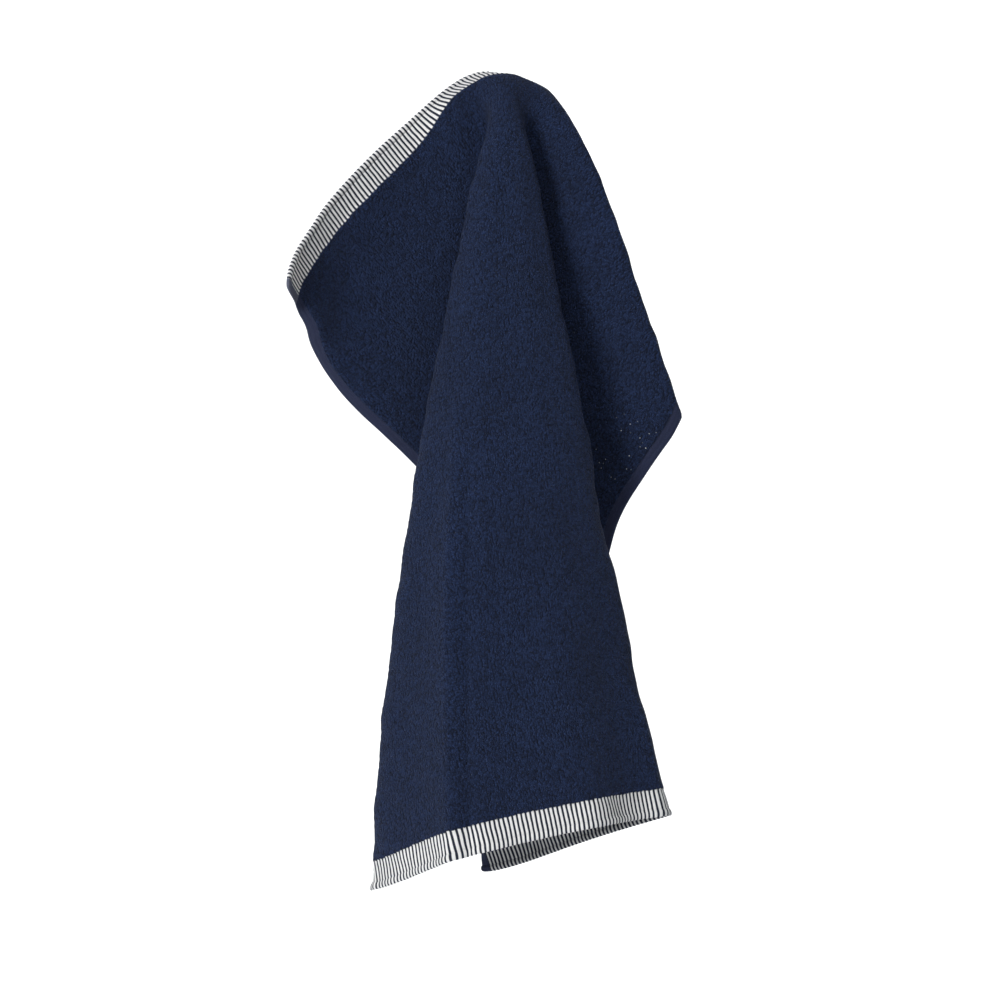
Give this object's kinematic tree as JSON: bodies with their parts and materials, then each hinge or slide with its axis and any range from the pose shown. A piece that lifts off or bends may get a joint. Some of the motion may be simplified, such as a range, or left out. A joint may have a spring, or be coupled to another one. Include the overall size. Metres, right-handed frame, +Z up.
{
  "type": "tea towel",
  "caption": "Navy terry tea towel with narrow striped end borders, hanging in soft folds from one point of its top edge.",
  "frame": {"origin": "the point of the top edge from which the towel hangs", "axes": "+Z up, -Y towards the viewer of the front, +X to the viewer's right"},
  "size_m": [0.2961, 0.1638, 0.6287],
  "materials": {
    "terry_navy": "navy cotton terry with white and navy striped flat borders"
  },
  "bodies": {
    "root": {"towel": "terry_navy"}
  },
  "joints": []
}
